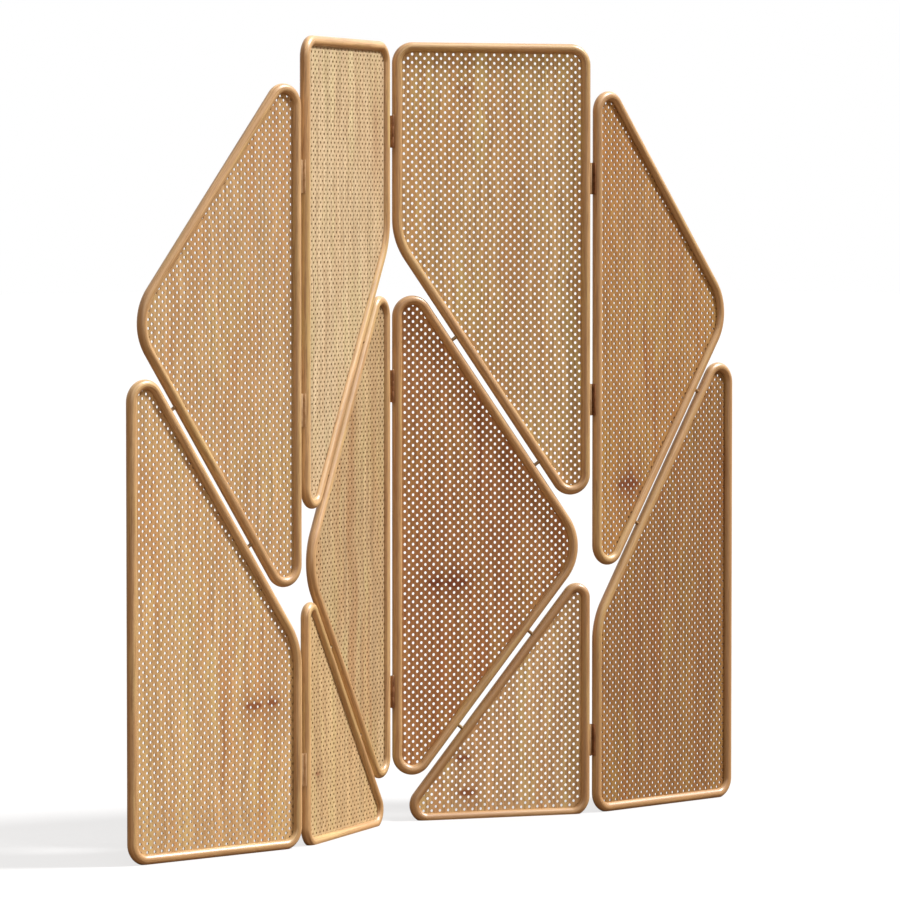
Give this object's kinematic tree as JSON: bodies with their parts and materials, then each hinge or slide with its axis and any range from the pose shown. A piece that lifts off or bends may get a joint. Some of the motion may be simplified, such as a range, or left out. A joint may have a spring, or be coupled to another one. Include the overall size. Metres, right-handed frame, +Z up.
{
  "type": "folding screen",
  "caption": "Free-standing oak folding screen: hinged leaves of rounded triangular and four-sided rod frames, each holding a thin sheet with a staggered grid of round holes.",
  "frame": {"origin": "on the floor, under the middle of the screen's box as it stands half folded", "axes": "+X runs along the screen from leaf a to leaf d, +Z is up, and -Y is the side that the open angle of the middle fold faces"},
  "size_m": [1.908, 0.2214, 1.8],
  "materials": {
    "oak_rod": "oiled and lacquered oak, satin, grain along the rod",
    "oak_sheet": "thin oak sheet, upright grain with knots, matt lacquer, drilled all over",
    "oak_dowel": "turned oak dowel, satin lacquer",
    "hinge_plate": "dark bronzed brass plate, satin",
    "hinge_pin": "bronzed pin, satin"
  },
  "bodies": {
    "leaf_a": {"leaf_a_upper_frame": "oak_rod", "leaf_a_upper_sheet": "oak_sheet", "leaf_a_lower_frame": "oak_rod", "leaf_a_lower_sheet": "oak_sheet", "leaf_a_dowel_1": "oak_dowel", "leaf_a_dowel_2": "oak_dowel", "hinge_ab_bottom_plate_a": "hinge_plate", "hinge_ab_middle_plate_a": "hinge_plate", "hinge_ab_top_plate_a": "hinge_plate"},
    "leaf_b": {"leaf_b_upper_frame": "oak_rod", "leaf_b_upper_sheet": "oak_sheet", "leaf_b_middle_frame": "oak_rod", "leaf_b_middle_sheet": "oak_sheet", "leaf_b_lower_frame": "oak_rod", "leaf_b_lower_sheet": "oak_sheet", "leaf_b_dowel_1": "oak_dowel", "leaf_b_dowel_2": "oak_dowel", "leaf_b_dowel_3": "oak_dowel", "leaf_b_dowel_4": "oak_dowel", "hinge_bc_bottom_plate_b": "hinge_plate", "hinge_bc_bottom_pin": "hinge_pin", "hinge_bc_middle_plate_b": "hinge_plate", "hinge_bc_middle_pin": "hinge_pin", "hinge_bc_top_plate_b": "hinge_plate", "hinge_bc_top_pin": "hinge_pin", "hinge_ab_bottom_plate_b": "hinge_plate", "hinge_ab_bottom_pin": "hinge_pin", "hinge_ab_middle_plate_b": "hinge_plate", "hinge_ab_middle_pin": "hinge_pin", "hinge_ab_top_plate_b": "hinge_plate", "hinge_ab_top_pin": "hinge_pin"},
    "leaf_c": {"leaf_c_upper_frame": "oak_rod", "leaf_c_upper_sheet": "oak_sheet", "leaf_c_middle_frame": "oak_rod", "leaf_c_middle_sheet": "oak_sheet", "leaf_c_lower_frame": "oak_rod", "leaf_c_lower_sheet": "oak_sheet", "leaf_c_dowel_1": "oak_dowel", "leaf_c_dowel_2": "oak_dowel", "leaf_c_dowel_3": "oak_dowel", "leaf_c_dowel_4": "oak_dowel", "hinge_bc_bottom_plate_c": "hinge_plate", "hinge_bc_middle_plate_c": "hinge_plate", "hinge_bc_top_plate_c": "hinge_plate", "hinge_cd_bottom_plate_c": "hinge_plate", "hinge_cd_bottom_pin": "hinge_pin", "hinge_cd_middle_plate_c": "hinge_plate", "hinge_cd_middle_pin": "hinge_pin", "hinge_cd_top_plate_c": "hinge_plate", "hinge_cd_top_pin": "hinge_pin"},
    "leaf_d": {"leaf_d_upper_frame": "oak_rod", "leaf_d_upper_sheet": "oak_sheet", "leaf_d_lower_frame": "oak_rod", "leaf_d_lower_sheet": "oak_sheet", "leaf_d_dowel_1": "oak_dowel", "leaf_d_dowel_2": "oak_dowel", "hinge_cd_bottom_plate_d": "hinge_plate", "hinge_cd_middle_plate_d": "hinge_plate", "hinge_cd_top_plate_d": "hinge_plate"}
  },
  "joints": [
    {"name": "fold_ab", "type": "hinge", "parent": "leaf_b", "child": "leaf_a", "pos_m": [-0.46184, -0.08666, 0.971], "axis": [0, 0, 1], "range_deg": [-153, 26]},
    {"name": "fold_bc", "type": "hinge", "parent": "leaf_b", "child": "leaf_c", "pos_m": [0, 0.09334, 1.0085], "axis": [0, 0, 1], "range_deg": [-131, 48]},
    {"name": "fold_cd", "type": "hinge", "parent": "leaf_c", "child": "leaf_d", "pos_m": [0.46184, -0.08666, 0.971], "axis": [0, 0, 1], "range_deg": [-26, 153]}
  ]
}
